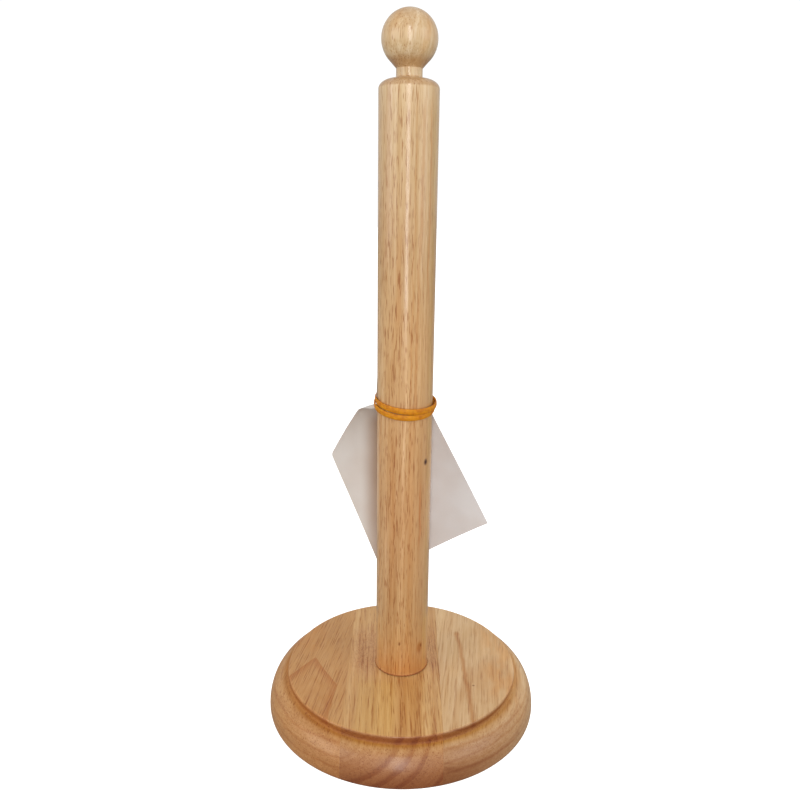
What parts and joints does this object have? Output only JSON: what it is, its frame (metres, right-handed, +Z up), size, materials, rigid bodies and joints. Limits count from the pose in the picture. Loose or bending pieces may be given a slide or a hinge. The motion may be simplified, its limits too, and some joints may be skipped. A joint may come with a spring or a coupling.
{
  "type": "paper towel holder",
  "caption": "Upright kitchen roll holder: a round turned post with a ball top on a round stepped base, with a rubber band and blank paper tag round the post.",
  "frame": {"origin": "centre of the base's underside, on the post's axis", "axes": "+Z up along the post, -Y towards the viewer in front of the rubber band's two strands, +X to the right"},
  "size_m": [0.14, 0.14, 0.339],
  "materials": {
    "base_wood": "satin",
    "post_wood": "satin",
    "screw_steel": "satin",
    "amber_rubber": "satin",
    "blank_paper": "matte"
  },
  "bodies": {
    "stand": {"base_stave_left": "base_wood", "base_stave_middle": "base_wood", "base_stave_right": "base_wood", "post": "post_wood", "post_screw": "screw_steel"},
    "tag": {"paper_tag": "blank_paper"},
    "band": {"rubber_band": "amber_rubber"}
  },
  "joints": [
    {"name": "tag_turn", "type": "hinge", "parent": "stand", "child": "tag", "pos_m": [0, 0, 0.1622], "axis": [0, 0, 1], "continuous": true},
    {"name": "band_slide", "type": "slide", "parent": "tag", "child": "band", "axis": [0, 0, 1], "range_m": [0, 0.137]}
  ]
}
